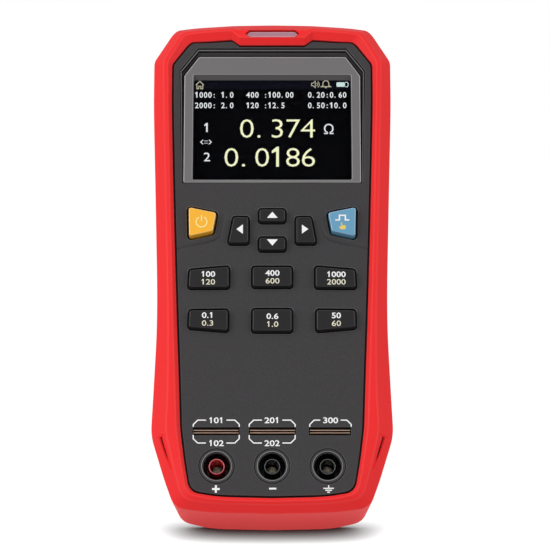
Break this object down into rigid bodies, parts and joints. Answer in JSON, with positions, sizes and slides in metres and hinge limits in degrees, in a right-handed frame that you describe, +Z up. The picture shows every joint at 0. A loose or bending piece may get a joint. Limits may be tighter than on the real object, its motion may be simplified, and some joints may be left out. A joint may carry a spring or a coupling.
{
  "type": "component tester",
  "caption": "Handheld component tester in a rubber holster, leaning on a rear kickstand, with a colour display, push keys, test slots and shrouded sockets.",
  "frame": {"origin": "middle of the footprint, on the surface that the meter and its stand rest on", "axes": "+X to the right as seen from the front, +Y to the back where the stand is, +Z up; the panel faces -Y and leans back 25 degrees"},
  "size_m": [0.0892, 0.113, 0.1836],
  "materials": {
    "holster_rubber": "satin",
    "panel_plastic": "fine grain",
    "rear_plastic": "fine grain",
    "bezel_plastic": "satin",
    "window_glass": "clear",
    "lcd_glass": "dark",
    "key_black": "satin",
    "key_amber": "satin",
    "key_blue": "satin",
    "lens_plastic": "milky",
    "red_plastic": "gloss",
    "black_plastic": "gloss",
    "socket_brass": "turned",
    "leaf_copper": "rolled copper alloy",
    "circuit_board": "solder mask",
    "steel": "plated",
    "silicone": "matte",
    "cell_wrap": "shrink film",
    "wire_red": "insulation",
    "wire_black": "insulation",
    "white_plastic": "plain"
  },
  "bodies": {
    "case": {"holster": "holster_rubber", "front_shell": "panel_plastic", "rear_shell": "rear_plastic", "case_screw_1": "steel", "case_screw_2": "steel", "case_screw_3": "steel", "case_screw_4": "steel", "display_bezel": "bezel_plastic", "display_window": "window_glass", "lcd_panel": "lcd_glass", "lcd_backlight": "steel", "lcd_carrier": "white_plastic", "lcd_ribbon": "leaf_copper", "indicator_lens": "lens_plastic", "indicator_lamp": "white_plastic", "keypad_mat": "silicone", "jack_board": "circuit_board", "jack_sleeve_positive": "red_plastic", "jack_sleeve_negative": "black_plastic", "jack_sleeve_guard": "black_plastic", "jack_contact_positive": "socket_brass", "jack_contact_negative": "socket_brass", "jack_contact_guard": "socket_brass", "jack_wire_positive": "wire_red", "jack_wire_negative": "wire_black", "jack_wire_guard": "wire_black", "slot_block": "black_plastic", "contact_high_upper": "leaf_copper", "contact_high_lower": "leaf_copper", "contact_low_upper": "leaf_copper", "contact_low_lower": "leaf_copper", "contact_guard_upper": "leaf_copper", "contact_guard_lower": "leaf_copper", "main_board": "circuit_board", "board_screw_left": "steel", "board_screw_right": "steel", "measuring_shield": "steel", "processor_chip": "black_plastic", "buzzer": "black_plastic", "usb_socket": "steel", "battery_pack": "cell_wrap", "battery_lead": "wire_red", "battery_door": "rear_plastic", "battery_door_screw": "steel", "stand_pin": "steel"},
    "stand": {"kickstand": "rear_plastic"},
    "port_plug": {"port_cover": "holster_rubber"},
    "power_key": {"key_power": "key_amber"},
    "trigger_key": {"key_trigger": "key_blue"},
    "up_key": {"key_up": "key_black"},
    "down_key": {"key_down": "key_black"},
    "left_key": {"key_left": "key_black"},
    "right_key": {"key_right": "key_black"},
    "function_key_one": {"key_one": "key_black"},
    "function_key_two": {"key_two": "key_black"},
    "function_key_three": {"key_three": "key_black"},
    "function_key_four": {"key_four": "key_black"},
    "function_key_five": {"key_five": "key_black"},
    "function_key_six": {"key_six": "key_black"}
  },
  "joints": [
    {"name": "stand_fold", "type": "hinge", "parent": "case", "child": "stand", "pos_m": [0, 0.02586, 0.11243], "axis": [1, 0, 0], "range_deg": [-36, 0]},
    {"name": "port_cover_pull", "type": "slide", "parent": "case", "child": "port_plug", "axis": [0, 0.4226, 0.9063], "range_m": [0, 0.006]},
    {"name": "power_press", "type": "slide", "parent": "case", "child": "power_key", "axis": [0, 0.9063, -0.4226], "range_m": [0, 0.001], "stiffness_N_per_m": 400, "springref_m": -0.0003},
    {"name": "trigger_press", "type": "slide", "parent": "case", "child": "trigger_key", "axis": [0, 0.9063, -0.4226], "range_m": [0, 0.001], "stiffness_N_per_m": 400, "springref_m": -0.0003},
    {"name": "up_press", "type": "slide", "parent": "case", "child": "up_key", "axis": [0, 0.9063, -0.4226], "range_m": [0, 0.001], "stiffness_N_per_m": 400, "springref_m": -0.0003},
    {"name": "down_press", "type": "slide", "parent": "case", "child": "down_key", "axis": [0, 0.9063, -0.4226], "range_m": [0, 0.001], "stiffness_N_per_m": 400, "springref_m": -0.0003},
    {"name": "left_press", "type": "slide", "parent": "case", "child": "left_key", "axis": [0, 0.9063, -0.4226], "range_m": [0, 0.001], "stiffness_N_per_m": 400, "springref_m": -0.0003},
    {"name": "right_press", "type": "slide", "parent": "case", "child": "right_key", "axis": [0, 0.9063, -0.4226], "range_m": [0, 0.001], "stiffness_N_per_m": 400, "springref_m": -0.0003},
    {"name": "one_press", "type": "slide", "parent": "case", "child": "function_key_one", "axis": [0, 0.9063, -0.4226], "range_m": [0, 0.001], "stiffness_N_per_m": 400, "springref_m": -0.0003},
    {"name": "two_press", "type": "slide", "parent": "case", "child": "function_key_two", "axis": [0, 0.9063, -0.4226], "range_m": [0, 0.001], "stiffness_N_per_m": 400, "springref_m": -0.0003},
    {"name": "three_press", "type": "slide", "parent": "case", "child": "function_key_three", "axis": [0, 0.9063, -0.4226], "range_m": [0, 0.001], "stiffness_N_per_m": 400, "springref_m": -0.0003},
    {"name": "four_press", "type": "slide", "parent": "case", "child": "function_key_four", "axis": [0, 0.9063, -0.4226], "range_m": [0, 0.001], "stiffness_N_per_m": 400, "springref_m": -0.0003},
    {"name": "five_press", "type": "slide", "parent": "case", "child": "function_key_five", "axis": [0, 0.9063, -0.4226], "range_m": [0, 0.001], "stiffness_N_per_m": 400, "springref_m": -0.0003},
    {"name": "six_press", "type": "slide", "parent": "case", "child": "function_key_six", "axis": [0, 0.9063, -0.4226], "range_m": [0, 0.001], "stiffness_N_per_m": 400, "springref_m": -0.0003}
  ]
}
